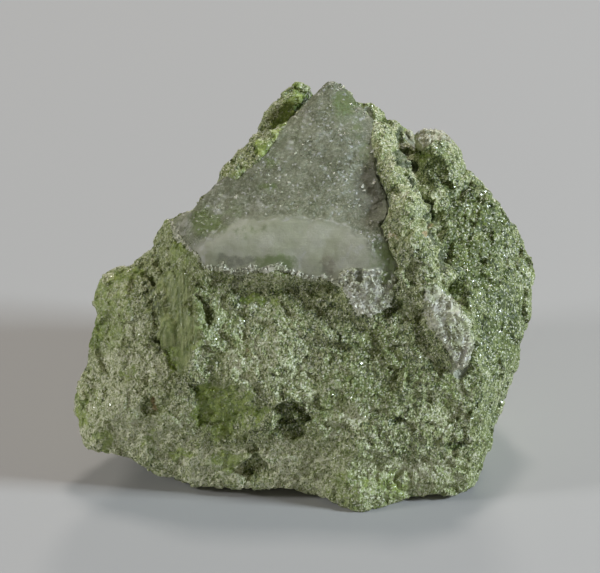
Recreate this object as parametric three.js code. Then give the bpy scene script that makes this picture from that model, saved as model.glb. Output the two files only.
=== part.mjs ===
// A rough hand specimen of green diopside rock with a cap of grey quartz, broken on every side.
// Lengths are in millimetres. +Z is up, and the front face, with the quartz at its top, looks along -Y.
import * as THREE from "three";
import { ConvexHull } from "three/addons/math/ConvexHull.js";
import { SimplifyModifier } from "three/addons/modifiers/SimplifyModifier.js";

// Driving dimensions
const LOOK_DOWN = THREE.MathUtils.degToRad(30); // angle at which the front face is looked down on
const MIDDLE = { x: 0.05, y: 18.7 }; // the middle of the rock over the table, as the corners are given
const CELL = 0.85; // size of the cubes that the surface is drawn through
const EVEN = 0.6; // how far each of the grid's values is evened out with those around it
const POINTS = 4900; // how many points the finished surface keeps
const JOIN = 1.2; // width of the blend where two blocks meet
const EDGE = 0.3; // width of the blend over a block's own edges
const SWELL = { size: 12, height: 0.3 }; // broad swells of the broken faces
const CHIPS = { size: 7, depth: 0.35, slope: 0.08 }; // shallow chips, with ridges between them
const NICKS = { size: 3.4, depth: 0.2, slope: 0.06 }; // smaller chips on those
const CHIP_LEVEL = 1.2; // where a chipped face lies over the floors of its chips, in depths of a chip
const BEND = { by: 1.3, pace: 0.7, phases: [0.4, 1.9, 3.1] }; // how the waves of a swell bend each other
const QUARTZ_ROUGHNESS = 0.3; // how rough the quartz breaks, against the diopside
const SAME_WAY = 0.9999; // cosine between two normals that count as one
const ROOM = 2; // cells of empty space on each side of the rock
const UNDER = 1.5; // and under the table, a half so that no point of the grid lies on it

// A corner by where it shows when the front face is looked down on, across and up, and its height
function seen(across, up, height) {
  const back = (up - height * Math.cos(LOOK_DOWN)) / Math.sin(LOOK_DOWN);
  return new THREE.Vector3(across, back, height);
}

// A corner on the far side or underneath, by its place
function hidden(x, y, z) {
  return new THREE.Vector3(x, y, z);
}

// The blocks that the rock breaks into, each the convex body over its corners
const BLOCKS = {
  // The heart of the rock, which closes the gaps between the others
  heart: [
    hidden(-12, 9.5, 20),
    hidden(-12, 8, 6),
    hidden(15, 9, 19),
    hidden(15, 8, 4),
    hidden(20, 17, 18),
    hidden(18, 20, 4),
    hidden(-17, 15, 19),
    hidden(-16, 16, 14),
    hidden(-16, 18, 7),
    hidden(-14, 12, 22),
    hidden(-13.5, 20, 23),
    hidden(-11, 13, 26),
    hidden(-4, 12, 28),
    hidden(8, 13, 27),
    hidden(10, 14, 28.5),
    hidden(11, 19, 31),
    hidden(0, 28.5, 35.5),
    hidden(5, 28.5, 35.5),
    hidden(12, 28, 30.5),
    hidden(17, 26, 27.5),
    hidden(12, 31, 16),
    hidden(-10, 28, 18),
    hidden(0, 30, 4),
  ],
  // The large granular front face, from the edge under the quartz down to the table
  front: [
    seen(-11.4, 26.0, 25.4),
    seen(-4.2, 26.3, 26.0),
    seen(3.6, 25.6, 25.2),
    seen(10.4, 23.6, 23.6),
    seen(16.6, 22.8, 22.6),
    seen(19.2, 16.5, 15.8),
    seen(-12.4, 15.0, 15.4),
    seen(-1.0, 13.5, 14.4),
    seen(10.0, 12.5, 13.2),
    seen(19.6, 8.0, 6.2),
    seen(18.4, 1.5, 0.3),
    seen(12.4, 1.0, 0.2),
    seen(2.5, 1.5, 0.8),
    seen(-6.5, 2.1, 0.9),
    seen(-11.9, 2.7, 0.9),
    hidden(-13, 24, 1),
    hidden(18, 24, 1),
    hidden(-10, 26, 20),
    hidden(16, 26, 20),
  ],
  // The mass behind, which nothing in front shows
  back: [
    hidden(-8, 25, 28),
    hidden(0, 29, 36),
    hidden(5, 29.5, 36),
    hidden(7.4, 28, 32.8),
    hidden(-3, 32, 31),
    hidden(6, 32.5, 31.5),
    hidden(13, 29.5, 30.5),
    hidden(19, 27, 23),
    hidden(19, 30, 12),
    hidden(10, 36, 17),
    hidden(-6, 36, 15),
    hidden(-13, 31, 17),
    hidden(-16.5, 22, 20.5),
    hidden(-17, 24, 4),
    hidden(-12, 27, -0.4),
    hidden(-3, 33, -0.4),
    hidden(13, 31, -0.4),
    hidden(19, 20, 0.5),
    hidden(-12, 12, 0.3),
  ],
  // The ledge low on the far side
  ledge: [
    hidden(-15, 30, 11),
    hidden(-4, 36.8, 9),
    hidden(7, 37.6, 12),
    hidden(12, 35, 3),
    hidden(-2, 36.4, 1),
    hidden(-14, 29, 2),
    hidden(0, 28, 14),
    hidden(-10, 20, 4),
    hidden(10, 24, 3),
  ],
  // The quartz cap: its upper side leans back to the peak, and its broken edge faces the front
  quartz: [
    seen(1.2, 47.4, 40.0),
    seen(2.9, 48.3, 40.5),
    seen(5.0, 47.2, 39.5),
    seen(7.4, 44.2, 37.4),
    seen(-2.6, 43.4, 37.6),
    seen(-6.8, 38.2, 34.4),
    seen(-11.2, 35.2, 32.2),
    seen(-12.8, 33.6, 31.0),
    seen(-12.4, 29.6, 28.4),
    seen(-11.2, 28.8, 29.0),
    seen(-7.4, 30.6, 30.6),
    seen(-4.4, 31.9, 31.6),
    seen(-0.2, 32.2, 31.9),
    seen(4.7, 31.6, 31.4),
    seen(6.9, 29.9, 30.2),
    seen(9.1, 27.5, 28.2),
    seen(-10.7, 26.2, 26.2),
    seen(-4.4, 26.4, 26.4),
    seen(3.4, 25.6, 25.6),
    seen(7.2, 24.2, 24.8),
    seen(9.4, 33.0, 31.4),
    hidden(-9, 14, 24),
    hidden(2, 28, 30),
    hidden(8, 22, 26),
  ],
  // The clear tip that hangs from the right end of the quartz's broken edge
  tip: [
    seen(4.2, 26.6, 26.8),
    seen(5.4, 22.0, 22.6),
    seen(6.8, 21.2, 21.9),
    seen(8.2, 21.8, 22.3),
    seen(10.6, 24.4, 24.6),
    seen(9.4, 27.8, 28.2),
    hidden(7, 12, 24),
  ],
  // The dull facet that joins the quartz's broken edge to the foot of the rib
  bridge: [
    seen(7.8, 31.6, 31.2),
    seen(9.8, 32.6, 32.0),
    seen(10.9, 30.4, 30.8),
    seen(9.6, 27.2, 27.8),
    seen(11.8, 27.8, 28.6),
    seen(9.8, 24.2, 24.6),
    seen(13.0, 25.0, 25.8),
    seen(12.8, 23.2, 23.6),
    hidden(9, 20, 28),
    hidden(12, 18, 24),
    hidden(11, 12, 21),
  ],
  // The shard of quartz on the right of the front face
  shard: [
    seen(13.4, 24.5, 25.2),
    seen(15.2, 24.8, 25.4),
    seen(17.0, 23.2, 23.8),
    seen(18.6, 20.4, 20.8),
    seen(19.0, 17.4, 17.6),
    seen(17.4, 14.2, 14.7),
    seen(16.4, 15.4, 15.9),
    seen(14.0, 20.2, 21.0),
    hidden(15, 10, 19),
  ],
  // The upper part of the rib of pale rock right of the quartz
  ribTop: [
    seen(7.6, 43.9, 37.4),
    seen(9.6, 42.5, 36.0),
    seen(10.4, 41.0, 34.8),
    seen(11.2, 38.1, 33.6),
    seen(12.6, 35.3, 32.2),
    seen(8.3, 39.8, 36.0),
    seen(9.1, 36.5, 34.6),
    seen(10.0, 37.6, 35.2),
    hidden(8, 27, 30),
    hidden(12, 24, 28),
    hidden(10, 14, 28),
  ],
  // Its lower part, which bends to the right
  ribFoot: [
    seen(9.1, 36.9, 34.6),
    seen(12.6, 35.6, 32.2),
    seen(11.6, 34.0, 33.4),
    seen(10.2, 32.6, 32.8),
    seen(14.2, 32.1, 30.4),
    seen(10.8, 29.3, 30.4),
    seen(13.2, 29.0, 30.2),
    seen(15.1, 27.9, 27.6),
    seen(16.2, 25.0, 25.2),
    seen(13.4, 24.2, 25.0),
    seen(11.6, 26.6, 27.6),
    hidden(10, 20, 28),
    hidden(14, 20, 22),
    hidden(14, 10, 20),
  ],
  // The block on the right, parted from the rib by a crack
  right: [
    seen(12.0, 40.6, 33.0),
    seen(13.0, 39.2, 32.0),
    seen(18.0, 38.0, 30.2),
    seen(18.8, 36.2, 28.9),
    seen(21.4, 33.8, 26.8),
    seen(23.7, 32.4, 25.2),
    seen(25.2, 28.8, 22.0),
    seen(25.5, 26.6, 20.2),
    seen(25.2, 20.5, 14.6),
    seen(22.8, 14.2, 9.6),
    seen(20.8, 8.0, 4.8),
    seen(18.8, 1.5, 0.2),
    seen(14.2, 35.2, 29.8),
    seen(15.8, 29.5, 26.2),
    seen(17.8, 22.6, 21.8),
    seen(19.6, 17.0, 16.2),
    hidden(14, 28, 27),
    hidden(20, 27, 14),
    hidden(18, 26, 3),
    hidden(18, 18, 0.3),
  ],
  // The knob on top of that block
  knob: [
    seen(11.6, 42.5, 34.3),
    seen(13.7, 43.2, 34.6),
    seen(15.6, 42.6, 34.0),
    seen(17.2, 39.9, 31.8),
    seen(12.6, 40.2, 33.4),
    seen(15.0, 39.6, 33.0),
    seen(16.4, 37.6, 31.2),
    hidden(12, 29, 30),
    hidden(17, 28, 27),
    hidden(15, 20, 28),
  ],
  // The shoulder on the left of the quartz
  shoulder: [
    seen(-12.6, 33.4, 30.2),
    seen(-14.5, 32.5, 28.8),
    seen(-16.2, 30.3, 27.0),
    seen(-17.8, 28.3, 25.4),
    seen(-11.4, 28.0, 27.2),
    seen(-10.8, 26.0, 25.6),
    seen(-14.6, 26.4, 25.0),
    seen(-13.4, 19.0, 17.8),
    seen(-10.8, 18.0, 17.8),
    hidden(-9.5, 12, 25),
    hidden(-12, 20, 26),
    hidden(-15, 22, 21),
    hidden(-17, 18, 19),
    hidden(-12, 12, 10),
  ],
  // The smooth leaf that stands under the shoulder
  leaf: [
    seen(-16.0, 25.2, 24.0),
    seen(-13.2, 25.7, 24.8),
    seen(-11.0, 23.0, 22.8),
    seen(-11.0, 17.6, 17.8),
    seen(-12.0, 14.0, 14.2),
    seen(-13.8, 16.4, 15.8),
    seen(-15.2, 20.2, 19.2),
    hidden(-14, 12, 16),
  ],
  // The lobe left of the leaf
  lobe: [
    seen(-18.2, 28.2, 24.8),
    seen(-21.0, 27.8, 24.1),
    seen(-22.3, 25.8, 22.3),
    seen(-22.8, 22.8, 19.8),
    seen(-23.4, 18.6, 15.8),
    seen(-19.8, 24.2, 22.6),
    seen(-17.2, 25.8, 24.0),
    seen(-16.6, 21.0, 20.2),
    seen(-16.2, 17.0, 16.8),
    seen(-19.6, 18.0, 16.8),
    hidden(-18, 19, 18),
    hidden(-15.5, 16, 23),
    hidden(-15, 14, 10),
  ],
  // The low lobe in the left corner, which overhangs the table
  corner: [
    seen(-23.4, 19.8, 16.8),
    seen(-24.4, 16.6, 13.6),
    seen(-25.0, 12.8, 9.6),
    seen(-25.4, 8.9, 6.2),
    seen(-24.2, 6.7, 4.2),
    seen(-19.4, 5.9, 3.2),
    seen(-15.7, 5.1, 2.6),
    seen(-11.9, 3.0, 1.3),
    seen(-19.8, 19.2, 17.8),
    seen(-15.0, 15.6, 15.2),
    seen(-19.6, 11.6, 10.8),
    seen(-12.0, 10.6, 10.6),
    seen(-12.0, 13.8, 13.7),
    seen(-17.0, 8.0, 6.6),
    hidden(-17.5, 20.5, 11),
    hidden(-14, 19, 12.5),
    hidden(-15.5, 21, 4),
    hidden(-12, 17, 0.4),
    hidden(-8, 10, 2),
  ],
  // The foot at the front, on which the rock stands
  foot: [
    seen(2.2, 3.0, 1.8),
    seen(3.8, 0.5, 0.1),
    seen(5.9, -0.4, -0.3),
    seen(8.4, 0.3, -0.3),
    seen(13.0, 0.9, 0.0),
    seen(14.0, 6.0, 5.0),
    seen(5.0, 8.0, 8.4),
    hidden(6, 14, -0.3),
    hidden(13, 12, -0.3),
  ],
  // The fin of green rock that stands along the quartz's left edge
  fin: [
    seen(-0.8, 48.0, 38.7),
    seen(0.5, 47.4, 38.3),
    seen(-2.0, 46.8, 37.6),
    seen(-3.5, 43.3, 35.3),
    seen(-5.3, 41.1, 33.9),
    seen(-8.2, 36.9, 31.0),
    seen(-10.4, 35.4, 30.0),
    seen(-12.4, 33.4, 28.6),
    hidden(1, 32, 34),
    hidden(2, 35, 24),
    hidden(-8, 28, 26),
    hidden(-12, 24, 22),
    hidden(-10, 16, 24),
    hidden(1, 26, 30),
  ],
};
const QUARTZ_BLOCKS = ["quartz", "tip", "shard"];

// Hollows as tapered rods of missing rock: both ends, and the radius at each
const HOLLOWS = [
  // the crack between the rib and the right block
  { from: seen(10.9, 42.0, 36.2), to: seen(11.9, 36.4, 33.0), radius: [1.2, 1.2] },
  { from: seen(11.9, 36.4, 33.0), to: seen(14.4, 30.4, 29.4), radius: [1.2, 1.1] },
  { from: seen(14.4, 30.4, 29.4), to: seen(16.2, 25.2, 25.6), radius: [1.1, 0.9] },
  // the split between the quartz and the fin
  { from: seen(0.6, 47.2, 39.6), to: seen(-2.0, 43.4, 37.8), radius: [1.0, 0.9] },
  // the dip in the quartz beside the rib
  { from: seen(6.8, 38.6, 36.6), to: seen(7.8, 33.0, 33.6), radius: [2.4, 2.4] },
  // the trench between the leaf and the lobe
  { from: seen(-17.2, 25.8, 25.4), to: seen(-16.0, 21.0, 21.3), radius: [0.9, 1.0] },
  { from: seen(-16.0, 21.0, 21.3), to: seen(-14.4, 16.0, 16.6), radius: [1.0, 1.2] },
  // pits in the front face
  { from: seen(-10.8, 22.6, 23.6), to: seen(-10.8, 21.4, 22.4), radius: [1.3, 1.4] },
  { from: seen(-2.0, 11.6, 13.8), to: seen(-0.6, 9.6, 12.0), radius: [1.5, 1.6] },
  { from: seen(-5.4, 6.0, 7.6), to: seen(-5.0, 3.8, 4.8), radius: [1.2, 1.4] },
  { from: seen(-17.4, 12.0, 13.0), to: seen(-14.6, 11.4, 12.8), radius: [1.5, 1.6] },
  { from: seen(10.0, 10.4, 12.0), to: seen(10.4, 9.6, 11.2), radius: [1.1, 1.2] },
  // the wide scoop high on the far side
  { from: hidden(-4, 41.4, 27), to: hidden(5, 42, 23), radius: [8.4, 8.2] },
];

// The smaller of two distances, blended where they are within the given width of each other
function softMin(a, b, width) {
  const near = Math.max(width - Math.abs(a - b), 0) / width;
  return Math.min(a, b) - (near * near * width) / 4;
}

function softMax(a, b, width) {
  return -softMin(-a, -b, width);
}

// The flat faces of the convex body over the corners
function facesOver(corners) {
  const faces = [];
  for (const { normal, constant } of new ConvexHull().setFromPoints(corners).faces) {
    const same = faces.some((f) => f.normal.dot(normal) > SAME_WAY);
    if (!same) faces.push({ normal: normal.clone(), constant });
  }
  return faces;
}

const blocks = Object.entries(BLOCKS).map(([name, corners]) => ({
  faces: facesOver(corners),
  isQuartz: QUARTZ_BLOCKS.includes(name),
}));

function distanceToBlock(p, faces) {
  let d = -Infinity;
  for (const { normal, constant } of faces) {
    const side = normal.dot(p) - constant;
    d = d === -Infinity ? side : softMax(d, side, EDGE);
  }
  return d;
}

function distanceToHollow(p, { from, to, radius }) {
  const along = to.clone().sub(from);
  const share = p.clone().sub(from).dot(along) / along.lengthSq();
  const t = THREE.MathUtils.clamp(share, 0, 1);
  const nearest = from.clone().addScaledVector(along, t);
  return p.distanceTo(nearest) - THREE.MathUtils.lerp(radius[0], radius[1], t);
}

// A repeatable random number from 0 to 1 for a cell of space
function scatter(i, j, k, n) {
  const s = Math.sin(i * 127.1 + j * 311.7 + k * 74.7 + n * 53.3) * 43758.5453;
  return s - Math.floor(s);
}

// Shallow chips: each scattered centre has a bowl, as deep as the chip and as wide as its size, that leans
// its own way, and the lowest bowl shows
function chips(p, { size, depth, slope }) {
  const home = p.clone().divideScalar(size).floor();
  let lowest = Infinity;
  for (let i = home.x - 1; i <= home.x + 1; i++)
    for (let j = home.y - 1; j <= home.y + 1; j++)
      for (let k = home.z - 1; k <= home.z + 1; k++) {
        const [x, y, z, ...tilt] = [0, 1, 2, 3, 4, 5].map((n) => scatter(i, j, k, n));
        const away = new THREE.Vector3(i + x, j + y, k + z).multiplyScalar(-size).add(p);
        const lean = new THREE.Vector3(...tilt).subScalar(0.5).dot(away) * 2 * slope;
        const bowl = depth * away.divideScalar(size / 2).lengthSq() + lean;
        lowest = Math.min(lowest, bowl);
      }
  return CHIP_LEVEL * depth - lowest;
}

// Broad swells, as three waves that bend each other
function swells({ x, y, z }, { size, height }) {
  const [a, b, c] = [x, y, z].map((length) => (length * 2 * Math.PI) / size);
  const wave = (turn, across, n) => Math.sin(turn + BEND.by * Math.sin(BEND.pace * across + BEND.phases[n]));
  return (height * (wave(a, b, 0) + wave(b, c, 1) + wave(c, a, 2))) / 3;
}

// The distance out of the rock, below zero inside it
function distanceToRock(p) {
  let d = Infinity;
  let toQuartz = Infinity;
  let toDiopside = Infinity;
  for (const { faces, isQuartz } of blocks) {
    const distance = distanceToBlock(p, faces);
    if (isQuartz) toQuartz = Math.min(toQuartz, distance);
    else toDiopside = Math.min(toDiopside, distance);
    d = d === Infinity ? distance : softMin(d, distance, JOIN);
  }
  for (const hollow of HOLLOWS) d = softMax(d, -distanceToHollow(p, hollow), JOIN);
  const inQuartz = THREE.MathUtils.clamp((toDiopside - toQuartz) / (2 * JOIN) + 0.5, 0, 1);
  const roughness = THREE.MathUtils.lerp(1, QUARTZ_ROUGHNESS, inQuartz);
  return d + roughness * (swells(p, SWELL) + chips(p, CHIPS) + chips(p, NICKS));
}

// A cube's corners are numbered by their bits, 1 for x, 2 for y and 4 for z. Each tetrahedron goes from
// corner 0 to corner 7, one axis at a time.
const TETRAHEDRA = [
  [0, 1, 3, 7],
  [0, 1, 5, 7],
  [0, 2, 3, 7],
  [0, 2, 6, 7],
  [0, 4, 5, 7],
  [0, 4, 6, 7],
];

// Draws a closed skin over the rock, through the tetrahedra of a grid of cubes
function skin() {
  const corners = Object.values(BLOCKS).flat();
  const room = new THREE.Box3().setFromPoints(corners).expandByScalar(ROOM * CELL);
  room.min.z = -UNDER * CELL;
  const count = room.getSize(new THREE.Vector3()).divideScalar(CELL).ceil().addScalar(1);
  const [nx, ny, nz] = count.toArray();
  const at = (i, j, k) => i + nx * (j + ny * k);

  const nodes = [];
  for (let k = 0; k < nz; k++)
    for (let j = 0; j < ny; j++)
      for (let i = 0; i < nx; i++) nodes.push(new THREE.Vector3(i, j, k).multiplyScalar(CELL).add(room.min));
  const raw = nodes.map(distanceToRock);
  const steps = [1, nx, nx * ny];
  const values = raw.map((value, n) => {
    const around = steps.flatMap((step) => [raw[n - step] ?? value, raw[n + step] ?? value]);
    const mean = around.reduce((sum, v) => sum + v, 0) / around.length;
    const evened = THREE.MathUtils.lerp(value, mean, EVEN);
    return Math.max(evened, -nodes[n].z); // the rock rests on the flats where it meets the table
  });

  // Space that no way in reaches from outside is rock too
  const reached = new Set([0]);
  for (const n of reached)
    for (const next of steps.flatMap((step) => [n - step, n + step]))
      if (values[next] >= 0) reached.add(next);
  values.forEach((value, n) => {
    if (value >= 0 && !reached.has(n)) values[n] = -CELL;
  });

  const points = [];
  const pointOn = new Map();
  // The point where the surface crosses the edge between a node inside and a node outside
  const crossing = (inside, outside) => {
    const edge = Math.min(inside, outside) * nodes.length + Math.max(inside, outside);
    if (!pointOn.has(edge)) {
      const share = values[inside] / (values[inside] - values[outside]);
      pointOn.set(edge, points.length);
      points.push(nodes[inside].clone().lerp(nodes[outside], share));
    }
    return pointOn.get(edge);
  };

  const triangles = [];
  // A triangle or a quad, turned so that it faces out of the rock
  const face = (ring, inside, outside) => {
    const [a, b, c] = ring.map((p) => points[p]);
    const normal = b.clone().sub(a).cross(c.clone().sub(a));
    const out = nodes[outside].clone().sub(nodes[inside]);
    const [p, q, r, s] = normal.dot(out) < 0 ? ring.reverse() : ring;
    triangles.push(p, q, r);
    if (s !== undefined) triangles.push(p, r, s);
  };

  for (let k = 0; k < nz - 1; k++)
    for (let j = 0; j < ny - 1; j++)
      for (let i = 0; i < nx - 1; i++)
        for (const tetrahedron of TETRAHEDRA) {
          const ends = tetrahedron.map((n) => at(i + (n & 1), j + ((n >> 1) & 1), k + ((n >> 2) & 1)));
          const inner = ends.filter((n) => values[n] < 0);
          const outer = ends.filter((n) => values[n] >= 0);
          if (inner.length === 0 || outer.length === 0) continue;
          const ring =
            inner.length === 2
              ? [
                  crossing(inner[0], outer[0]),
                  crossing(inner[0], outer[1]),
                  crossing(inner[1], outer[1]),
                  crossing(inner[1], outer[0]),
                ]
              : inner.flatMap((a) => outer.map((b) => crossing(a, b)));
          face(ring, inner[0], outer[0]);
        }

  const geometry = new THREE.BufferGeometry();
  const flat = points.flatMap((p) => p.toArray());
  geometry.setAttribute("position", new THREE.Float32BufferAttribute(flat, 3));
  geometry.setIndex(triangles);
  return geometry;
}

// Where two sheets of the skin share an edge, its ends become one point, so that they part there
function partSheets(geometry) {
  const flat = Array.from(geometry.index.array);
  let triangles = flat.flatMap((n, place) => (place % 3 ? [] : [flat.slice(place, place + 3)]));
  for (;;) {
    const uses = new Map();
    for (const ring of triangles)
      ring.forEach((n, side) => {
        const next = ring[(side + 1) % 3];
        const edge = [Math.min(n, next), Math.max(n, next)].join();
        uses.set(edge, (uses.get(edge) ?? 0) + 1);
      });
    const shared = [...uses.keys()].find((edge) => uses.get(edge) > 2);
    if (!shared) break;
    const [kept, dropped] = shared.split(",").map(Number);
    triangles = triangles
      .map((ring) => ring.map((n) => (n === dropped ? kept : n)))
      .filter((ring) => new Set(ring).size === 3);
  }
  geometry.setIndex(triangles.flat());
}

// The skin with triangles only where its shape needs them
async function lightSkin() {
  const full = skin();
  const count = full.attributes.position.count;
  const light = await new SimplifyModifier().modify(full, count - POINTS);
  partSheets(light);
  light.translate(-MIDDLE.x, -MIDDLE.y, 0);
  light.computeVertexNormals();
  return light;
}

const rock = new THREE.Mesh(
  await lightSkin(),
  new THREE.MeshStandardMaterial({ color: 0x6d7258, roughness: 0.75, metalness: 0 }),
);
rock.name = "diopside_rock";

const specimen = new THREE.Group();
specimen.add(rock);

export default specimen;
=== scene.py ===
import math

import bpy
import numpy as np
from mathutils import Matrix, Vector
from mathutils.bvhtree import BVHTree
from mathutils.kdtree import KDTree


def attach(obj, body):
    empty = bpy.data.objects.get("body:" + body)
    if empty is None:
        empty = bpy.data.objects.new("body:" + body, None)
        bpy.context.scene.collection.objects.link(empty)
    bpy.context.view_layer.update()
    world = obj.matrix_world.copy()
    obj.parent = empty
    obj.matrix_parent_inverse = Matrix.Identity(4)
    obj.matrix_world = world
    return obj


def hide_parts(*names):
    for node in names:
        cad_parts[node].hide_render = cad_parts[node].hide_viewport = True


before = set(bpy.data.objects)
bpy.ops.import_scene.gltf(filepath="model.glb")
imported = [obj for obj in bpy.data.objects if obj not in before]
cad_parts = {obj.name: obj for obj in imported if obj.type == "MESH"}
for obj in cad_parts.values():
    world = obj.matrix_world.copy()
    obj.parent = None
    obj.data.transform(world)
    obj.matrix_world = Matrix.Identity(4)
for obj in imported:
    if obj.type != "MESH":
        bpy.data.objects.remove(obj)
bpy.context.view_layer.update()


# The view: a long lens that looks down on the broken front face, as close as a specimen is looked at.
# Places on the rock are given by where they show in this view, in pixels of a 600 by 573 picture.
PICTURE = (600, 573)
LOOK_DOWN = math.radians(30)
AWAY = 1.2  # metres from the lens to the middle of the view
PER_METRE = 9100  # pixels of the picture to a metre there
MIDDLE = Vector((-0.00048, -0.00706, 0.02191))
FORWARD = Vector((0, math.cos(LOOK_DOWN), -math.sin(LOOK_DOWN)))
UPWARD = Vector((0, math.sin(LOOK_DOWN), math.cos(LOOK_DOWN)))
EYE = MIDDLE - AWAY * FORWARD

bpy.ops.object.select_all(action="DESELECT")
bpy.ops.object.camera_add(location=EYE, rotation=(math.pi / 2 - LOOK_DOWN, 0, 0))
camera = bpy.context.object
camera.data.sensor_width = 36
camera.data.lens = 36 * AWAY * PER_METRE / PICTURE[0]
camera.data.clip_start = 0.01
bpy.context.scene.camera = camera


def shown_at(points):
    """Where points show in the picture, in pixels across and down."""
    away = np.asarray(points) - np.array(EYE)
    scale = AWAY * PER_METRE / (away @ np.array(FORWARD))
    across = PICTURE[0] / 2 + away[:, 0] * scale
    down = PICTURE[1] / 2 - (away @ np.array(UPWARD)) * scale
    return np.column_stack([across, down])


# The green rock: granular diopside in one mass, broken on every side, with the quartz grown onto its top.
# Its shape is the solid's own. The skin is redrawn in even small faces, finer in front, and then broken
# into flat faces at two sizes, as crystals that lie every way leave it, with pits and cracks between them.
SKIN = 0.00042  # metres between the points of the skin at the back, twice those in front
CAP_RING = [
    (309, 96), (311, 80), (328, 70), (352, 76), (372, 98), (374, 118), (372, 142), (376, 168), (384, 190),
    (389, 210), (380, 226), (388, 246), (396, 262), (395, 278), (380, 284), (352, 282), (338, 284),
    (327, 277), (312, 278), (297, 275), (279, 269), (264, 272), (252, 270), (238, 276), (221, 269),
    (204, 268), (196, 252), (179, 242), (171, 229), (164, 208), (186, 196), (206, 184), (220, 176),
    (238, 178), (260, 160), (275, 141), (290, 117),
]
TIP_RING = [
    (340, 272), (352, 268), (380, 270), (396, 276), (393, 290), (385, 302), (373, 316), (361, 314),
    (351, 303), (345, 290),
]
SHARD_RING = [
    (425, 290), (432, 287), (441, 288), (455, 300), (468, 325), (472, 345), (470, 365), (460, 381),
    (452, 372), (449, 355), (440, 340), (430, 325), (423, 310),
]
KNOB_RING = [
    (406, 132), (408, 118), (424, 114), (446, 118), (460, 136), (459, 148), (451, 143), (440, 140),
    (432, 143), (424, 150), (414, 147), (408, 141),
]
LEAF_RING = [
    (162, 280), (172, 274), (186, 276), (194, 290), (195, 320), (197, 345), (188, 372), (178, 366),
    (168, 350), (160, 330), (158, 300),
]
QUARTZ_RINGS = (CAP_RING, TIP_RING, SHARD_RING, KNOB_RING)
QUARTZ_DEPTHS = (0.0013, 0.0011, 0.001, 0.0005)  # how deep the green rock lies under each
SOFT_EDGE = 7  # pixels over which one ground gives way to the next
HIDING = 0.0015  # metres, rock at least this far in front of a point hides it
SPLINTER_HEIGHT = 0.00014  # metres that the ends of fibres stand up or lie back


def off_line(seen, start, end):
    """How far points lie from a straight line between two others, in pixels."""
    side = end - start
    along = np.clip(((seen - start) @ side) / (side @ side), 0, 1)
    return np.hypot(*(seen - start - along[:, None] * side).T)


def inside(seen, ring):
    """How far points lie inside a ring of corners, in pixels, and below zero outside it."""
    corners = np.array(ring, float)
    nearest = np.full(len(seen), np.inf)
    odd = np.zeros(len(seen), bool)
    for start, end in zip(corners, np.roll(corners, -1, axis=0)):
        nearest = np.minimum(nearest, off_line(seen, start, end))
        level = (start[1] > seen[:, 1]) != (end[1] > seen[:, 1])
        rise = end[1] - start[1] or 1
        odd ^= level & (seen[:, 0] < start[0] + (seen[:, 1] - start[1]) * (end[0] - start[0]) / rise)
    return np.where(odd, nearest, -nearest)


def marked(seen, spots):
    """How strongly points lie in a set of spots, from 0 to 1: each is across, down, half its width, half its
    height and how strong it is."""
    mark = np.zeros(len(seen))
    for across, down, wide, high, strength in spots:
        away = np.hypot((seen[:, 0] - across) / wide, (seen[:, 1] - down) / high)
        mark = np.maximum(mark, strength * np.clip(1.6 - away, 0, 1))
    return mark


def lined(seen, lines):
    """How strongly points lie on a set of lines: each is half its width, how strong it is and its corners."""
    mark = np.zeros(len(seen))
    for width, strength, corners in lines:
        corners = np.array(corners, float)
        away = np.min([off_line(seen, *ends) for ends in zip(corners, corners[1:])], axis=0)
        mark = np.maximum(mark, strength * np.clip(1.6 - away / width, 0, 1))
    return mark


def wobbled(seen):
    """The same places, each pushed about a little, so that what is marked there gets an uneven edge."""
    draw = np.random.default_rng(8)
    moved = seen.copy()
    for size, by in ((37, 4.0), (23, 2.8), (14, 2.0), (9, 1.3), (5, 0.8)):
        for across in (0, 1):
            way = draw.normal(0, 1, 2)
            way *= 2 * math.pi / size / np.linalg.norm(way)
            moved[:, across] += by * np.sin(seen @ way + draw.uniform(0, 6.3))
    return moved


def take(piece):
    """Makes a piece the only one that is worked on."""
    bpy.ops.object.select_all(action="DESELECT")
    piece.select_set(True)
    bpy.context.view_layer.objects.active = piece


def work(piece, kind, **settings):
    """Works a modifier into a piece."""
    take(piece)
    modifier = piece.modifiers.new("work", kind)
    for name, value in settings.items():
        setattr(modifier, name, value)
    bpy.ops.object.modifier_apply(modifier=modifier.name)


def solid_copy(name):
    """A new piece with the solid's own shape, its loose triangles joined."""
    piece = bpy.data.objects.new(name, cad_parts["diopside_rock"].data.copy())
    piece.data.materials.clear()
    bpy.context.scene.collection.objects.link(piece)
    take(piece)
    bpy.ops.object.mode_set(mode="EDIT")
    bpy.ops.mesh.select_all(action="SELECT")
    bpy.ops.mesh.remove_doubles(threshold=1e-6)
    bpy.ops.object.mode_set(mode="OBJECT")
    return piece


def numbers(of, name, wide=3):
    """A value of each point or face of a piece, as an array."""
    found = np.empty(len(of) * wide, np.float32)
    of.foreach_get(name, found)
    return found.reshape(-1, wide).astype(float) if wide > 1 else found.astype(float)


def points_of(piece):
    return numbers(piece.data.vertices, "co")


def normals_of(piece):
    return numbers(piece.data.vertex_normals, "vector")


def reshape(piece, points):
    """Moves a piece's points, none of them under the table."""
    points[:, 2] = np.maximum(points[:, 2], 0)
    piece.data.vertices.foreach_set("co", points.astype(np.float32).ravel())
    piece.data.update()


def in_front(normals):
    """1 where a surface is turned to the view, 0 where it is turned away."""
    return np.clip(0.6 - 4 * normals @ np.array(FORWARD), 0, 1)


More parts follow.
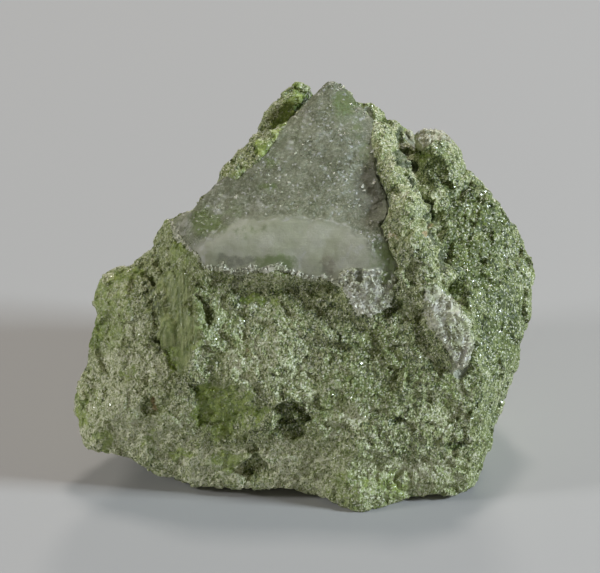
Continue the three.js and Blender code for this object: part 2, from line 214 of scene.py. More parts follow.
def unhidden(piece):
    """1 for the points of a piece that show in the view, 0 for those with rock well in front of them."""
    points = points_of(piece)
    skin = BVHTree.FromPolygons(points.tolist(), [tuple(p.vertices) for p in piece.data.polygons])
    ahead = normals_of(piece) @ np.array(FORWARD) < 0.15
    shows = np.ones(len(points))
    for n in np.nonzero(ahead)[0]:
        start = Vector(points[n]) - HIDING * FORWARD
        shows[n] = skin.ray_cast(start, -FORWARD)[0] is None
    return shows


def patches(points, size, seed):
    """A number for each point that rises to 1 in patches of about that size, in metres, and is 0 between."""
    draw = np.random.default_rng(seed)
    waves = np.zeros(len(points))
    for part in (1.0, 0.7, 0.5, 0.35):
        for turn in range(3):
            way = draw.normal(0, 1, 3)
            way *= 2 * math.pi / (size * part * 2 * np.linalg.norm(way))
            waves += part * np.sin(points @ way + draw.uniform(0, 6.3))
    return np.clip(waves / 1.6 - 0.3, 0, 1)


def note(piece, name, values):
    """Writes a number for each point of a piece, which its finish reads."""
    values = np.asarray(values, np.float32)
    piece.data.attributes.new(name, "FLOAT", "POINT").data.foreach_set("value", values)


def weigh(piece, name, values):
    """A vertex group that says how much of a modifier each point takes."""
    group = piece.vertex_groups.new(name=name)
    steps = np.round(np.clip(values, 0, 1) * 20).astype(int)
    for step in range(1, 21):
        group.add(np.nonzero(steps == step)[0].tolist(), step / 20, "REPLACE")


def relief(piece, size, height, group=""):
    """Raises and lowers a piece's skin in lumps of that size, in metres."""
    lumps = bpy.data.textures.new(f"{piece.name}_lumps", "CLOUDS")
    lumps.noise_scale = size
    work(piece, "DISPLACE", texture=lumps, texture_coords="LOCAL", strength=height, vertex_group=group)


def broken(piece, size, tilt, step, deepest, share, seed):
    """Breaks a piece's skin into flat faces of about that size, each tilted and set back its own way. Gives
    back a number from 0 to 1 for each point, which is the same all over a face."""
    draw = np.random.default_rng(seed)
    faces = piece.data.polygons
    area = numbers(faces, "area", 1)
    count = int(area.sum() / size ** 2)
    chosen = draw.choice(len(faces), count, p=area / area.sum())
    seats, planes = numbers(faces, "center")[chosen], numbers(faces, "normal")[chosen]
    tree = KDTree(count)
    for n, seat in enumerate(seats):
        tree.insert(seat, n)
    tree.balance()
    points, normals = points_of(piece), normals_of(piece)
    seats = seats + planes * draw.uniform(-step, step, (count, 1))
    planes = planes + draw.normal(0, tilt, (count, 3))
    planes /= np.linalg.norm(planes, axis=1, keepdims=True)
    nearest = np.array([tree.find(point)[1] for point in points])
    slope = np.maximum((normals * planes[nearest]).sum(axis=1), 0.5)
    rise = ((seats[nearest] - points) * planes[nearest]).sum(axis=1) / slope
    rise = deepest * np.tanh(rise / deepest) * share
    reshape(piece, points + normals * rise[:, None])
    return draw.uniform(0, 1, count)[nearest]


rock = solid_copy("green_rock")
work(rock, "REMESH", mode="VOXEL", voxel_size=SKIN)
work(rock, "SMOOTH", factor=0.5, iterations=3)
take(rock)
bpy.ops.object.mode_set(mode="EDIT")
bpy.ops.mesh.select_all(action="DESELECT")
bpy.ops.object.mode_set(mode="OBJECT")
faces = rock.data.polygons
ahead = numbers(faces, "normal") @ np.array(FORWARD) < -0.05
under = np.max([inside(shown_at(numbers(faces, "center")), ring) for ring in QUARTZ_RINGS], axis=0)
faces.foreach_set("select", ahead & (under < 4))
bpy.ops.object.mode_set(mode="EDIT")
bpy.ops.mesh.subdivide(number_cuts=1, smoothness=0)
bpy.ops.object.mode_set(mode="OBJECT")
work(rock, "SMOOTH", factor=0.5, iterations=2)

# Spots and cracks that sink by their strength in millimetres, and spots where a cleft is filled
PITS = [
    (204, 309, 7, 12, 0.8), (291, 418, 11, 13, 1.1), (255, 465, 7, 13, 0.9), (151, 407, 13, 8, 0.5),
    (193, 394, 5, 6, 0.5), (394, 419, 4, 6, 0.3), (458, 445, 4, 4, 0.5), (358, 427, 8, 4, 0.5),
    (390, 305, 9, 9, 0.6), (151, 284, 4, 11, 0.5), (418, 152, 7, 4, 0.3), (451, 247, 10, 10, 0.3),
    (482, 260, 9, 8, 0.3), (300, 296, 40, 8, 0.3), (240, 290, 30, 8, 0.3), (330, 300, 14, 12, 0.4),
]
FILLED = [(166, 342, 9, 18, 1.0), (160, 300, 5, 12, 0.4), (451, 276, 8, 8, 1.3), (404, 158, 5, 12, 0.5)]
FIBRES = [(168, 246, 26, 30, 1), (146, 262, 14, 14, 0.8), (126, 278, 12, 16, 0.7), (152, 310, 8, 34, 0.7)]
CRACKS = [
    (1.8, 0.4, [(402, 132), (404, 165), (417, 191), (431, 220), (437, 244)]),
    (1.4, 0.35, [(236, 340), (250, 352), (262, 372)]),
    (1.4, 0.35, [(291, 402), (305, 420), (301, 440)]),
    (1.4, 0.3, [(180, 372), (200, 398), (206, 425), (228, 446), (250, 462)]),
    (1.4, 0.3, [(330, 330), (352, 352), (381, 360), (402, 384)]),
    (1.2, 0.3, [(470, 180), (476, 214), (490, 240), (498, 280)]),
]
seen = shown_at(points_of(rock))
normals = normals_of(rock)
front = in_front(normals) * unhidden(rock)
loose = wobbled(seen)
rings = np.array([inside(seen, ring) for ring in QUARTZ_RINGS])
under_quartz = rings.max(axis=0)
quartz_share = np.clip((under_quartz + 1) / SOFT_EDGE, 0, 1) * front
deep = np.array(QUARTZ_DEPTHS)[rings.argmax(axis=0)]
leaf_share = np.clip(inside(loose, LEAF_RING) / SOFT_EDGE + 0.5, 0, 1) * front

skin = BVHTree.FromPolygons(points_of(rock).tolist(), [tuple(p.vertices) for p in rock.data.polygons])
points = points_of(rock)
thickness = np.full(len(points), 0.02)
for n in np.nonzero(quartz_share)[0]:
    start = Vector(points[n] - normals[n] * 1e-5)
    hit = skin.ray_cast(start, Vector(-normals[n]))
    if hit[3] is not None:
        thickness[n] = hit[3]
sink = quartz_share * np.minimum(deep, 0.4 * thickness)
pitted = np.maximum(marked(loose, PITS), lined(loose, CRACKS)) - 1.2 * marked(seen, FILLED)
sink += 0.001 * pitted * front * (1 - quartz_share)
draw = np.random.default_rng(3)
splinters = np.interp(seen[:, 0] - 0.05 * seen[:, 1], np.arange(600) * 1.3, draw.uniform(-1, 1, 600))
fibrous = np.maximum(leaf_share, marked(loose, FIBRES) * front)
sink += SPLINTER_HEIGHT * splinters * fibrous
reshape(rock, points - normals * sink[:, None])

rugged = (1 - 0.9 * leaf_share) * (1 - 0.8 * quartz_share)
weigh(rock, "rugged", rugged)
relief(rock, size=0.0032, height=0.0003, group="rugged")
big_faces = broken(rock, size=0.0019, tilt=0.13, step=0.00009, deepest=0.00025, share=rugged, seed=5)
small_faces = broken(rock, size=0.0008, tilt=0.21, step=0.00004, deepest=0.00012, share=rugged, seed=6)

# How each kind of ground lies on the rock: fresh bright green; darker ground with painted shade in pits,
# clefts, hollows and under the quartz plate; crushed white ground with painted light on the lower and left
# faces; and stained by rust
FRESH = [
    (300, 98, 9, 12, 1.4), (293, 112, 8, 12, 1.1), (348, 106, 11, 10, 0.8), (266, 187, 12, 5, 0.7),
    (126, 274, 11, 12, 0.9), (94, 330, 9, 20, 0.8), (100, 290, 9, 16, 0.7), (80, 412, 8, 26, 0.7),
    (171, 360, 5, 8, 1.2), (197, 347, 7, 5, 0.8), (222, 412, 24, 20, 1.15), (206, 396, 14, 8, 1.0),
    (245, 396, 12, 8, 0.8), (258, 417, 5, 11, 0.8), (180, 453, 6, 9, 0.7), (226, 462, 16, 9, 0.7),
    (103, 440, 8, 8, 0.7), (252, 302, 6, 6, 1), (278, 306, 8, 5, 0.7), (423, 157, 7, 8, 0.8),
    (272, 264, 16, 8, 0.8), (210, 220, 16, 15, 0.5), (452, 165, 18, 16, 0.3), (488, 215, 12, 22, 0.35),
    (180, 238, 9, 22, 0.8), (285, 128, 10, 14, 0.8), (265, 152, 10, 12, 0.7), (240, 172, 12, 8, 0.6),
    (350, 488, 22, 14, 0.5), (395, 485, 22, 12, 0.6), (420, 415, 16, 18, 0.4), (352, 368, 16, 12, 0.35),
    (452, 390, 12, 20, 0.4), (322, 398, 10, 9, 0.4), (130, 372, 9, 12, 0.5), (108, 300, 8, 14, 0.6),
    (148, 440, 10, 8, 0.5), (114, 316, 24, 40, 0.55), (94, 400, 18, 34, 0.4), (180, 300, 26, 60, 0.35),
]
# Darker ground, and painted shade: many spots sit on pits, clefts and hollows and along the band under the
# quartz plate, where they darken the colour as shade would
DARK_AND_SHADE = [
    (375, 365, 70, 60, 0.42), (478, 240, 34, 64, 0.85), (500, 320, 26, 60, 0.75), (482, 400, 20, 50, 0.45),
    (440, 180, 14, 40, 0.6), (240, 297, 36, 12, 0.45), (285, 293, 34, 11, 0.5), (333, 318, 18, 22, 0.5),
    (362, 338, 32, 9, 0.6), (390, 304, 13, 12, 1), (204, 309, 8, 13, 0.7), (291, 418, 12, 15, 1.0),
    (255, 465, 7, 14, 1.0), (151, 407, 15, 9, 0.7), (193, 394, 5, 6, 0.8), (394, 420, 5, 7, 1),
    (458, 445, 5, 6, 0.9), (358, 427, 9, 5, 0.8), (451, 247, 12, 12, 1), (483, 260, 10, 9, 0.9),
    (505, 303, 8, 6, 0.8), (525, 236, 6, 12, 0.8), (151, 284, 5, 11, 0.9), (172, 345, 4, 10, 0.3),
    (417, 151, 9, 5, 0.8), (378, 190, 16, 22, 0.6), (424, 262, 5, 30, 0.5), (470, 280, 24, 26, 0.45),
    (518, 260, 9, 34, 0.5), (425, 330, 14, 22, 0.4), (400, 372, 26, 16, 0.4), (420, 448, 22, 16, 0.35),
    (500, 330, 14, 26, 0.5), (466, 220, 12, 16, 0.5), (370, 398, 12, 6, 0.4), (334, 452, 10, 7, 0.4),
    (230, 376, 8, 6, 0.4), (340, 352, 12, 10, 0.35), (490, 390, 10, 18, 0.4), (500, 262, 16, 20, 0.4),
    (480, 335, 8, 14, 0.4),
]
# Crushed white ground, and painted light: the broad spots along the bottom and the lower left lighten faces
# that the lamps leave in shade
PALE_AND_LIT = [
    (300, 470, 60, 22, 1.2), (210, 462, 50, 18, 0.9), (400, 482, 60, 20, 0.8), (130, 430, 50, 26, 1.0),
    (120, 380, 34, 40, 0.7), (108, 300, 16, 30, 0.7), (150, 425, 46, 30, 0.8), (150, 370, 20, 26, 0.6),
    (272, 350, 22, 24, 0.5), (240, 362, 20, 24, 0.6), (348, 416, 14, 10, 1.1), (300, 462, 30, 24, 0.9),
    (412, 155, 12, 14, 0.5), (408, 215, 15, 44, 0.2), (436, 200, 5, 11, 0.9), (204, 309, 5, 8, 0.5),
    (118, 330, 22, 34, 0.6), (200, 472, 50, 14, 0.7), (444, 470, 30, 18, 0.5), (86, 400, 14, 30, 0.7),
    (305, 385, 22, 12, 0.5), (388, 150, 10, 30, 0.3), (330, 440, 18, 10, 0.5), (192, 262, 8, 12, 0.4),
    (426, 300, 10, 10, 0.5), (440, 420, 10, 20, 0.4),
]
RUST = [
    (393, 236, 4, 6, 0.6), (427, 236, 2, 3, 0.9), (460, 348, 3, 6, 0.7), (283, 277, 2, 2, 1),
    (157, 404, 4, 3, 0.8), (436, 226, 3, 4, 0.6), (250, 352, 3, 2, 0.5),
]
# Painted shade, nearly black, along the split beside the rib and down the left side of the leaf
CRACK_SHADE_LINES = [
    (2.6, 1.5, [(402, 132), (404, 165), (417, 191), (431, 220), (439, 258), (446, 272)]),
    (1.6, 0.8, [(158, 296), (157, 318), (159, 345), (163, 366)]),
]


def note_ground(piece, seen, front):
    """Writes on a piece's points which ground they lie on, with the painted shade and painted light: as
    marked in front, and at random elsewhere.
    """
    seen = wobbled(seen)
    points = points_of(piece)
    note(piece, "fresh", marked(seen, FRESH) * front + 0.42 * patches(points, 0.006, 1) * (1 - front))
    note(piece, "dark", marked(seen, DARK_AND_SHADE) * front + 0.6 * patches(points, 0.005, 2) * (1 - front))
    note(piece, "crack", lined(seen, CRACK_SHADE_LINES) * front)
    note(piece, "pale", marked(seen, PALE_AND_LIT) * front + 0.6 * patches(points, 0.007, 4) * (1 - front))
    note(piece, "rust", marked(seen, RUST) * front + 0.25 * patches(points, 0.004, 6) ** 3 * (1 - front))


note_ground(rock, seen, front)
note(rock, "quartz", np.clip(under_quartz / 5 + 0.5, 0, 1) * front)
note(rock, "leaf", leaf_share)
note(rock, "fibre", fibrous)
note(rock, "tone", 0.5 * big_faces + 0.5 * small_faces)


class Wire:
    """A socket of a finish. Sums and products of wires add the nodes that work them out."""

    def __init__(self, finish, socket):
        self.finish = finish
        self.socket = socket

    def __add__(self, other):
        return self.finish.sum("ADD", self, other)

    def __sub__(self, other):
        return self.finish.sum("SUBTRACT", self, other)

    def __rsub__(self, other):
        return self.finish.sum("SUBTRACT", other, self)

    def __mul__(self, other):
        return self.finish.sum("MULTIPLY", self, other)

    __radd__ = __add__
    __rmul__ = __mul__


class Finish:
    """A material as it is mixed: one shader, and the nodes that vary it over a surface."""

    def __init__(self, name, **constants):
        self.material = bpy.data.materials.new(name)
        self.material.use_nodes = True
        self.tree = self.material.node_tree
        self.shader = self.tree.nodes["Principled BSDF"]
        for socket, value in constants.items():
            self.shader.inputs[socket.replace("_", " ")].default_value = value
        self.place = self.node("TexCoord", out="Object")

    def join(self, value, socket):
        if isinstance(value, Wire):
            self.tree.links.new(value.socket, socket)
        else:
            socket.default_value = value

    def node(self, kind, settings={}, values={}, out=0):
        node = self.tree.nodes.new("ShaderNode" + kind)
        for name, value in settings.items():
            if name == "stops":
                stops = node.color_ramp.elements
                for place, _ in value[1:-1]:
                    stops.new(place)
                for stop, (place, colour) in zip(stops, value):
                    stop.position = place
                    stop.color = (*colour, 1)
            else:
                setattr(node, name, value)
        for name, value in values.items():
            self.join(value, node.inputs[name])
        return Wire(self, node.outputs[out])

    def sum(self, operation, a, b):
        return self.node("Math", {"operation": operation}, {0: a, 1: b})

    def mix(self, share, a, b, blend="MIX"):
        a, b = [(*c, 1) if isinstance(c, tuple) else c for c in (a, b)]
        return self.node("Mix", {"data_type": "RGBA", "blend_type": blend}, {0: share, 6: a, 7: b}, 2)

    def ramp(self, value, *stops):
        return self.node("ValToRGB", {"stops": stops}, {"Fac": value})

    def read(self, name):
        return self.node("Attribute", {"attribute_name": name}, out="Fac")

    def noise(self, size, detail=2, rough=0.5):
        values = {"Vector": self.place, "Scale": 1 / size, "Detail": detail, "Roughness": rough}
        return self.node("TexNoise", {}, values)

    def shifted(self, size, by):
        """The place on the piece, pushed about at random over that size."""
        push = self.node("TexNoise", {}, {"Vector": self.place, "Scale": 1 / size, "Detail": 1}, "Color")
        push = self.node("VectorMath", {"operation": "SUBTRACT"}, {0: push, 1: (0.5, 0.5, 0.5)})
        values = {0: push, 1: (by, by, by), 2: self.place}
        return self.node("VectorMath", {"operation": "MULTIPLY_ADD"}, values)

    def grains(self, size, out="Color", kind="F1", place=None):
        """A pattern of crystals of that size: a number of its own for each, or how far its edge is."""
        values = {"Vector": place or self.place, "Scale": 1 / size}
        return self.node("TexVoronoi", {"feature": kind}, values, out)

    def facets(self, size):
        """The height of flat faces of that size that all tilt their own way, in metres."""
        grain = self.node("TexVoronoi", {}, {"Vector": self.place, "Scale": 1 / size}, "Color")
        centre = Wire(self, grain.socket.node.outputs["Position"])
        tilt = self.node("VectorMath", {"operation": "SUBTRACT"}, {0: grain, 1: (0.5, 0.5, 0.5)})
        away = self.node("VectorMath", {"operation": "SUBTRACT"}, {0: self.place, 1: centre})
        return self.node("VectorMath", {"operation": "DOT_PRODUCT"}, {0: tilt, 1: away}, "Value")

    def step(self, value, low, high):
        """0 up to low, 1 from high on, and a smooth rise between them."""
        settings = {"interpolation_type": "SMOOTHSTEP"}
        return self.node("MapRange", settings, {"Value": value, "From Min": low, "From Max": high})

    def give(self, **values):
        for socket, value in values.items():
            self.join(value, self.shader.inputs[socket.replace("_", " ")])

    def bump(self, height):
        """Shades the surface by a height in metres."""
        self.give(Normal=self.node("Bump", {}, {"Height": height, "Distance": 1.0}, "Normal"))


def diopside(name):
    """The finish of the green rock: short needles that stand nearly upright, with painted highlights along
    the sugary edges between them.
    """
    green = Finish(name, IOR=1.67)
    bent = green.shifted(0.0005, 0.0006)
    needles = green.node("Mapping", {}, {"Vector": bent, "Rotation": (0, 0.25, 0), "Scale": (1, 1, 0.5)})
    fine = green.noise(0.00013, 1, 0.6)
    rough = green.noise(0.0009, 4, 0.65)
    coarse = green.noise(0.0022, 4, 0.6)
    wide = green.noise(0.007, 2)
    fresh = green.step(green.read("fresh") + 1.2 * rough - 0.6, 0.3, 0.7)
    # Darker ground, with shade painted into pits, clefts, hollows and under the plate
    dark = green.step(green.read("dark") + 1.1 * rough - 0.55, 0.15, 0.9)
    crystals, crumbs = green.grains(0.00042, place=needles), green.grains(0.0002, place=needles)
    specks = green.grains(0.00012, place=needles)
    shade = 0.06 * crystals + 0.50 * crumbs + 0.86 * specks + 0.08 * green.read("tone") + 0.42 * coarse
    # Lighter where crushed white ground lies and where light is painted on the lower and left faces; darker
    # where the darker ground and the painted shade lie
    shade = shade + 0.26 * green.step(green.read("pale") + rough - 0.5, 0.1, 0.9) - 0.28 * dark - 0.445
    colour = green.ramp(
        shade, (0.18, (0.042, 0.066, 0.012)), (0.38, (0.145, 0.19, 0.045)), (0.56, (0.275, 0.325, 0.105)),
        (0.74, (0.46, 0.50, 0.245)), (0.94, (0.80, 0.81, 0.57)),
    )
    # Painted highlights: whitish lines along the edges of the crystals, as if light caught them
    rim_highlights = green.grains(0.0004, "Distance", "DISTANCE_TO_EDGE", needles)
    rim_highlights = (1 - green.step(rim_highlights, 0.02, 0.09)) * green.step(green.noise(0.0012, 2), 0.42, 0.62)
    colour = green.mix(0.5 * rim_highlights * (1 - dark), colour, (0.68, 0.70, 0.49))
    olive = green.step(wide + 0.3 * coarse, 0.6, 0.8)
    colour = green.mix(0.3 * olive, colour, (0.20, 0.26, 0.055))
    vivid = green.mix(green.step(crystals + fine, 0.5, 1.5), (0.13, 0.20, 0.018), (0.36, 0.46, 0.085))
    colour = green.mix(0.8 * fresh, colour, vivid)
    flecks = green.step(green.grains(0.00015), 0.78, 0.8)
    colour = green.mix(0.7 * flecks * (1 - 0.5 * fresh), colour, (0.82, 0.83, 0.66))
    rust = green.step(green.read("rust") + 0.6 * fine - 0.3, 0.3, 0.7)
    colour = green.mix(0.5 * rust, colour, (0.5, 0.29, 0.13))
    long = green.node("Mapping", {}, {"Vector": green.place, "Rotation": (0, 0.1, 0), "Scale": (7, 7, 0.4)})
    streaks = green.node("TexNoise", {}, {"Vector": long, "Scale": 300, "Detail": 2})
    leafy = green.mix(green.step(streaks, 0.35, 0.65), (0.13, 0.175, 0.03), (0.33, 0.38, 0.14))
    colour = green.mix(0.5 * green.read("leaf") + 0.35 * green.read("fibre"), colour, leafy)
    cloudy = green.mix(green.step(coarse, 0.35, 0.7), (0.26, 0.28, 0.20), (0.45, 0.47, 0.37))
    cloudy = green.mix(0.8 * fresh, cloudy, (0.18, 0.29, 0.05))
    cloudy = green.mix(0.6 * dark, cloudy, (0.08, 0.09, 0.05))
    colour = green.mix(green.step(green.read("quartz"), 0.4, 0.6), colour, cloudy)
    # Painted shade: nearly black along the split beside the rib and the line left of the leaf
    colour = green.mix(0.7 * green.step(green.read("crack"), 0.3, 0.9), colour, (0.03, 0.05, 0.012))
    glassy = green.step(green.grains(0.00026) + 0.14 * dark, 0.80, 0.86)
    green.give(Base_Color=colour, Roughness=0.52 - 0.42 * glassy)
    flat = 1 - 0.7 * green.read("leaf") - 0.4 * fresh
    height = (0.45 * green.facets(0.0005) + 0.8 * green.facets(0.00022)) * flat
    green.bump(height + 0.00014 * streaks * green.read("fibre"))
    return green.material


rock.data.materials.append(diopside("granular_diopside"))
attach(rock, "root")
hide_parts("diopside_rock")


# The quartz: a milky grey slab at the top that breaks off steeply towards the front in a smooth, shell-like
# face with a crushed tip, a shard on the right and a skin over the knob. Each is cut from the solid's shape.
PLATE_RING = [
    (194, 250), (200, 243), (212, 239), (226, 226), (236, 219), (256, 217), (290, 218), (318, 221),
    (342, 223), (361, 236), (374, 253), (392, 277), (378, 279), (352, 277), (338, 290), (312, 284),
    (279, 276), (238, 282), (200, 276),
]
PLATE_FOOT = 262  # pixels down the picture, where the bright crest of the plate's edge ends
CREST_HEIGHT = 0.00004  # metres
QUARTZ_SKIN = 0.00022  # metres between the points of its skin
CRUMB_SIZE = 0.00026  # metres across
CRUMBS = {"quartz_cap": 1500, "quartz_tip": 450, "quartz_shard": 350}


def ragged(ring, by, seed):
    """The same ring with a broken edge."""
    draw = np.random.default_rng(seed)
    corners = []
    for start, end in zip(ring, ring[1:] + ring[:1]):
        steps = max(1, round(math.dist(start, end) / 3.5))
        for n in range(steps):
            corner = np.array(start) + (np.array(end) - start) * n / steps + draw.normal(0, by, 2)
            corners.append(corner.tolist())
    return corners


def quartz_piece(name, ring, point, normal):
    """The quartz inside a ring as it shows from the front, down to a plane in the rock."""
    near, far = [], []
    point, normal = Vector(point) / 1000, Vector(normal)
    for across, down in ring:
        way = AWAY * PER_METRE * FORWARD + (across - PICTURE[0] / 2) * Vector((1, 0, 0))
        way = (way + (PICTURE[1] / 2 - down) * UPWARD) / (AWAY * PER_METRE)
        near.append(EYE + way * (AWAY - 0.06))
        far.append(EYE + way * ((point - EYE).dot(normal) / way.dot(normal)))
    count = len(ring)
    bpy.ops.object.select_all(action="DESELECT")
    bpy.ops.mesh.primitive_cylinder_add(vertices=count, end_fill_type="NGON")
    cutter = bpy.context.object
    for n in range(count):
        cutter.data.vertices[2 * n].co = far[-n]
        cutter.data.vertices[2 * n + 1].co = near[-n]
    take(cutter)
    bpy.ops.object.mode_set(mode="EDIT")
    bpy.ops.mesh.select_all(action="SELECT")
    bpy.ops.mesh.quads_convert_to_tris()
    bpy.ops.mesh.normals_make_consistent(inside=False)
    bpy.ops.object.mode_set(mode="OBJECT")
    piece = solid_copy(name)
    work(piece, "BOOLEAN", object=cutter, operation="INTERSECT", solver="EXACT")
    bpy.data.objects.remove(cutter)
    work(piece, "REMESH", mode="VOXEL", voxel_size=QUARTZ_SKIN)
    work(piece, "SMOOTH", factor=0.5, iterations=3)
    return piece


def crystal_corner():
    """The corners and faces of one corner of a crystal, with its point up."""
    bpy.ops.object.select_all(action="DESELECT")
    bpy.ops.mesh.primitive_cube_add(size=1)
    crystal = bpy.context.object
    bpy.ops.object.mode_set(mode="EDIT")
    bpy.ops.mesh.select_all(action="SELECT")
    bpy.ops.mesh.bisect(plane_co=(-0.5, 0.5, 0.5), plane_no=(1, 1, 1), use_fill=True, clear_inner=True)
    bpy.ops.mesh.select_all(action="SELECT")
    bpy.ops.mesh.remove_doubles(threshold=1e-4)
    bpy.ops.mesh.normals_make_consistent(inside=False)
    bpy.ops.mesh.quads_convert_to_tris()
    bpy.ops.object.mode_set(mode="OBJECT")
    corners = points_of(crystal) - 0.28
    faces = np.array([tuple(p.vertices) for p in crystal.data.polygons])
    bpy.data.objects.remove(crystal)
    return corners, faces


def crumbs_on(ground, name, count, size, seed, likely):
    """A piece made of crumbs of quartz stuck to another's skin, more of them where they are more likely."""
    draw = np.random.default_rng(seed)
    faces = ground.data.polygons
    chance = numbers(faces, "area", 1) * np.array([likely[list(p.vertices)].mean() for p in faces])
    chosen = draw.choice(len(faces), count, p=chance / chance.sum())
    centres, outward = numbers(faces, "center")[chosen], numbers(faces, "normal")[chosen]
    centres += draw.uniform(-0.5, 0.5, (count, 3)) * QUARTZ_SKIN
    axes = np.linalg.qr(draw.normal(size=(count, 3, 3)))[0]
    axes *= np.linalg.det(axes)[:, None, None]
    shape, sides = crystal_corner()
    stretch = size * np.exp(draw.normal(0, 0.35, (count, 1))) * draw.uniform(0.6, 1.3, (count, 3))
    placed = np.einsum("ij,njk->nik", shape, axes * stretch[:, :, None])
    placed += (centres + outward * 0.15 * size)[:, None]
    placed[:, :, 2] = np.maximum(placed[:, :, 2], 0.0001)
    all_sides = sides[None] + np.arange(count)[:, None, None] * len(shape)
    mesh = bpy.data.meshes.new(name)
    mesh.from_pydata(placed.reshape(-1, 3).tolist(), [], all_sides.reshape(-1, 3).tolist())
    piece = bpy.data.objects.new(name, mesh)
    bpy.context.scene.collection.objects.link(piece)
    return piece


# What shows in the quartz: green rock through it, greyish spots and shade painted into its hollows, white
# flaws and stains
GREEN_IN_QUARTZ = [
    (380, 250, 10, 26, 0.6), (206, 221, 17, 14, 0.9), (232, 206, 12, 8, 0.5), (276, 264, 20, 8, 0.9),
    (268, 188, 10, 4, 0.9), (345, 104, 12, 11, 1), (270, 163, 7, 6, 0.6), (300, 205, 14, 7, 0.3),
    (388, 262, 9, 24, 0.9), (356, 130, 8, 10, 0.5), (250, 232, 22, 6, 0.4), (366, 150, 6, 12, 0.5),
]
# Greyish spots, and painted shade: the largest darken the hollow beside the rib and the slope under it
DULL_AND_SHADE_IN_QUARTZ = [
    (368, 190, 16, 24, 0.9), (308, 160, 22, 15, 0.4), (235, 262, 15, 6, 0.8), (326, 267, 7, 7, 0.6),
    (340, 160, 16, 20, 0.4), (384, 232, 12, 16, 0.7), (222, 257, 6, 6, 0.8), (352, 200, 12, 8, 0.4),
]
WHITE_IN_QUARTZ = [
    (203, 262, 3, 9, 1), (300, 264, 3, 10, 0.6), (357, 250, 7, 5, 0.6), (182, 228, 8, 12, 0.6),
    (368, 296, 16, 14, 0.7), (304, 116, 4, 8, 0.5), (290, 147, 4, 9, 0.5), (324, 135, 6, 4, 0.5),
    (218, 210, 5, 3, 0.7), (236, 200, 4, 4, 0.4), (462, 362, 8, 12, 0.8), (440, 315, 9, 14, 0.6),
    (372, 272, 10, 5, 0.7), (255, 205, 20, 6, 0.4), (212, 200, 26, 14, 0.35),
]
WHITE_LINES = [
    (1.2, 0.5, [(200, 250), (223, 221), (262, 222), (300, 219), (342, 223), (360, 236), (373, 253),
                (392, 277)]),
    (2.6, 1.5, [(203, 268), (221, 269), (238, 275), (253, 271), (264, 271), (279, 269), (297, 275),
                (314, 277), (327, 277), (338, 284), (348, 295)]),
    (2.6, 1.3, [(169, 214), (171, 229), (179, 242), (193, 251), (203, 268)]),
    (1.6, 0.9, [(343, 272), (350, 302), (361, 313), (373, 315), (386, 300), (393, 281)]),
    (1.2, 0.8, [(297, 275), (299, 262), (304, 254)]),
    (1.2, 0.6, [(338, 272), (343, 258), (352, 246)]),
    (1.2, 0.7, [(430, 294), (441, 322), (452, 352), (460, 374)]),
]
STAIN_IN_QUARTZ = [(328, 264, 6, 8, 0.8), (333, 216, 5, 3, 0.6), (461, 350, 6, 7, 0.6), (299, 192, 3, 2, 0.5)]


def milky_quartz(name, sugar, see_through, *colours):
    """The finish of the quartz: see-through, with milk in it, and a sugary or a smooth break."""
    clear = Finish(name, IOR=1.54, Transmission_Weight=see_through)
    fine = clear.noise(0.00015, 2, 0.6)
    coarse = clear.noise(0.0018, 4)
    sugary = sugar * (1 - 0.8 * clear.read("smooth"))
    crumbs, specks = clear.grains(0.0002), clear.grains(0.00012)
    colour = clear.mix(clear.step(0.8 * coarse + 0.2 * fine, 0.35, 0.65), *colours)
    cloud = clear.step(clear.noise(0.003, 4, 0.6), 0.35, 0.65)
    milky = clear.mix(cloud, (0.76, 0.785, 0.56), (1.0, 1.0, 0.83))
    colour = clear.mix(0.85 * clear.read("smooth"), colour, milky)
    colour = clear.mix(0.5 * clear.step(specks, 0.55, 0.75) * sugary, colour, (0.90, 0.91, 0.76))
    dim = (1 - clear.step(crumbs, 0.3, 0.5)) * (1 - clear.read("smooth"))
    colour = clear.mix(0.3 * dim, colour, (0.15, 0.18, 0.08))
    ragged_edge = clear.noise(0.0007, 4, 0.65)
    # The greyish spots also paint shade into the hollows
    for mark, amount, tint in (
        ("green", 0.7, (0.25, 0.36, 0.07)), ("dull", 0.6, (0.21, 0.22, 0.155)),
        ("white", 0.9, (0.94, 0.94, 0.84)), ("stain", 0.4, (0.42, 0.33, 0.23)),
    ):
        spread = clear.step(clear.read(mark) + 2.0 * ragged_edge - 1.0, 0.2, 0.9)
        colour = clear.mix(amount * spread, colour, tint)
    # Painted highlights: a few near-white spots of colour where sugary quartz would sparkle in the lamps
    painted_glints = clear.step(clear.grains(0.00024) + 0.3 * clear.noise(0.003, 2), 0.99, 1.02) * sugary
    colour = clear.mix(0.9 * painted_glints, colour, (1.0, 1.0, 0.96))
    clusters = clear.step(clear.noise(0.003, 2), 0.48, 0.6)
    clear.give(Base_Color=colour, Roughness=0.5 - 0.32 * clusters * clear.step(crumbs, 0.7, 0.8) * sugary)
    height = (0.3 * clear.facets(0.0006) + 0.6 * clear.facets(0.00022) * (0.4 + clusters)) * sugary
    clear.bump(height + 0.00006 * clear.noise(0.0011, 2))
    return clear.material


def note_quartz(piece, seen, front):
    """Writes on a piece's points what shows in the quartz there, and where shade is painted into its hollows.
    """
    loose = seen + 0.4 * (wobbled(seen) - seen)
    note(piece, "green", marked(loose, GREEN_IN_QUARTZ) * front)
    note(piece, "dull", marked(loose, DULL_AND_SHADE_IN_QUARTZ) * front)
    note(piece, "white", np.maximum(marked(loose, WHITE_IN_QUARTZ), lined(loose, WHITE_LINES)) * front)
    note(piece, "stain", marked(loose, STAIN_IN_QUARTZ) * front)


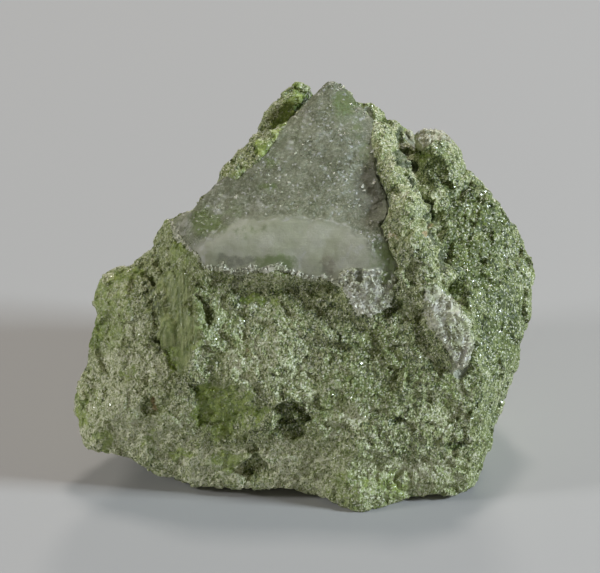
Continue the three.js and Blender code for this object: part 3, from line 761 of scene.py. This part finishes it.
CRUSHED_LINES = [(2.6, 1.0, line[2]) for line in WHITE_LINES[1:4]]
crushed_quartz = milky_quartz("crushed_quartz", 0.5, 0.15, (0.62, 0.65, 0.45), (0.97, 0.97, 0.84))
grey_quartz = milky_quartz("grey_quartz", 0.9, 0.6, (0.28, 0.305, 0.17), (0.50, 0.53, 0.35))
beige_quartz = milky_quartz("beige_quartz", 1.0, 0.4, (0.60, 0.60, 0.38), (0.88, 0.86, 0.62))
white_quartz = milky_quartz("white_quartz", 0.9, 0.3, (0.46, 0.51, 0.24), (0.92, 0.93, 0.68))

# Each piece with its ring, a point in millimetres and the normal of the plane that ends it in the rock
for name, ring, point, normal, finish, seed in (
    ("quartz_cap", CAP_RING, (0, -9.4, 26.2), (0, -0.51, 1), grey_quartz, 21),
    ("quartz_tip", TIP_RING, (7, -12.0, 23), (0, -1, 0.3), white_quartz, 22),
    ("quartz_shard", SHARD_RING, (16, -12.9, 20), (0.15, -1, 0.23), white_quartz, 23),
    ("quartz_knob", KNOB_RING, (14.5, 5.0, 31.9), (-0.5, 0, 1), beige_quartz, 24),
):
    quartz = quartz_piece(name, ragged(ring, 0.9 if name == "quartz_cap" else 1.5, seed), point, normal)
    seen = shown_at(points_of(quartz))
    front = in_front(normals_of(quartz))
    plate = inside(seen + 0.3 * (wobbled(seen) - seen), PLATE_RING)
    smooth = np.clip(plate / 8 + 0.5, 0, 1) * front * (inside(seen, TIP_RING) < 0)
    crest = np.exp(-((plate / 1.6) ** 2)) * (seen[:, 1] < PLATE_FOOT) * front
    reshape(quartz, points_of(quartz) + normals_of(quartz) * (CREST_HEIGHT * crest)[:, None])
    rough = (0.3 if name == "quartz_cap" else 1) * (1 - smooth)
    relief(quartz, size=0.003, height=0.0003)
    broken(quartz, size=0.0014, tilt=0.25, step=0.00008, deepest=0.0002, share=rough, seed=seed)
    broken(quartz, size=0.0006, tilt=0.3, step=0.00005, deepest=0.00012, share=rough, seed=seed + 10)
    note(quartz, "smooth", smooth)
    note_quartz(quartz, seen, front)
    quartz.data.materials.append(finish)
    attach(quartz, "root")
    if name in CRUMBS:
        likely = lined(wobbled(seen) * 0.4 + seen * 0.6, CRUSHED_LINES) * front * (inside(seen, ring) < 9)
        likely += (0.004 if name == "quartz_cap" else 0.3) * front * (1 - smooth)
        crumbs = crumbs_on(quartz, name + "_crumbs", CRUMBS[name], CRUMB_SIZE, seed + 20, likely)
        crumbs.data.materials.append(crushed_quartz)
        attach(crumbs, "root")


# The table under the rock and the light of soft lamps: one at each side, in front, above and behind
bpy.ops.object.select_all(action="DESELECT")
bpy.ops.mesh.primitive_plane_add(size=4)
table = bpy.context.object
table.name = "table"
paper = Finish("pale_paper", Roughness=0.9)
paper.give(Base_Color=paper.mix(paper.noise(0.4), (0.41, 0.41, 0.405), (0.43, 0.43, 0.425)))
table.data.materials.append(paper.material)

LAMPS = [
    ("lamp_right", (0.652, -0.115, 0.352), 0.14, 5.6, (0.81, 0.91, 1.0)),
    ("lamp_left", (-0.630, -0.111, 0.285), 0.12, 1.9, (0.97, 0.98, 1.0)),
    ("lamp_above", (0.052, 0.295, 0.742), 0.12, 1.75, (1.0, 0.93, 0.88)),
    ("lamp_behind", (0.076, 0.727, 0.325), 0.15, 1.9, (1.0, 0.94, 0.88)),
    ("lamp_front", (-0.1, -0.7, 0.25), 0.5, 0.25, (1.0, 0.97, 0.9)),
]
for name, place, size, power, colour in LAMPS:
    bpy.ops.object.light_add(type="AREA", location=place)
    lamp = bpy.context.object
    lamp.name = name
    lamp.data.size = size
    lamp.data.energy = power
    lamp.data.color = colour
    lamp.rotation_euler = (Vector((0, 0, 0.02)) - Vector(place)).to_track_quat("-Z", "Y").to_euler()

world = bpy.data.worlds.new("room")
bpy.context.scene.world = world
world.use_nodes = True
world.node_tree.nodes["Background"].inputs["Color"].default_value = (1.0, 0.88, 0.72, 1)
world.node_tree.nodes["Background"].inputs["Strength"].default_value = 0.1
bpy.context.scene.view_settings.view_transform = "Standard"
